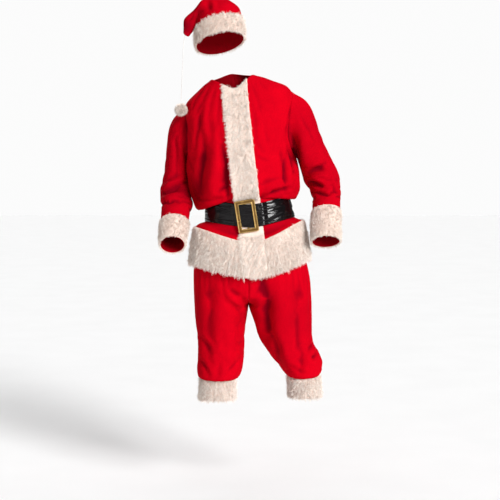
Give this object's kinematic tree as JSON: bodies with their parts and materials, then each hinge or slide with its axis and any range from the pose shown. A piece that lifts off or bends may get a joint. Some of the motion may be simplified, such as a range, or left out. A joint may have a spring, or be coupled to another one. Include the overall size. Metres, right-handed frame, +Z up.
{
  "type": "santa suit",
  "caption": "Hollow worn-form santa suit: belted jacket with fur trim, knee trousers, and a folded hat with a pompom on a string.",
  "frame": {"origin": "middle of the jacket's neck opening, where the wearer's neck holds the suit", "axes": "+Z up along the wearer, -Y towards the suit's front, +X towards the wearer's left"},
  "size_m": [0.6935, 0.3831, 1.5324],
  "materials": {
    "velour": "bright red brushed velour with a soft sheen",
    "fur": "off-white faux fur",
    "vinyl": "black glossy creased vinyl",
    "brass": "polished brass-coloured metal",
    "string": "off-white twisted cord"
  },
  "bodies": {
    "root": {"belt_buckle": "brass", "belt_strap": "vinyl", "hat_band_fur": "fur", "hat_crown": "velour", "hat_pompom": "fur", "hat_string": "string", "jacket_back": "velour", "jacket_cuff_fur_left": "fur", "jacket_cuff_fur_right": "fur", "jacket_front_left": "velour", "jacket_front_right": "velour", "jacket_hem_fur_back": "fur", "jacket_hem_fur_left": "fur", "jacket_hem_fur_right": "fur", "jacket_placket_fur": "fur", "jacket_sleeve_left": "velour", "jacket_sleeve_right": "velour", "trouser_cuff_fur_left": "fur", "trouser_cuff_fur_right": "fur", "trouser_left_back": "velour", "trouser_left_front": "velour", "trouser_right_back": "velour", "trouser_right_front": "velour", "trouser_waistband": "velour"}
  },
  "joints": []
}
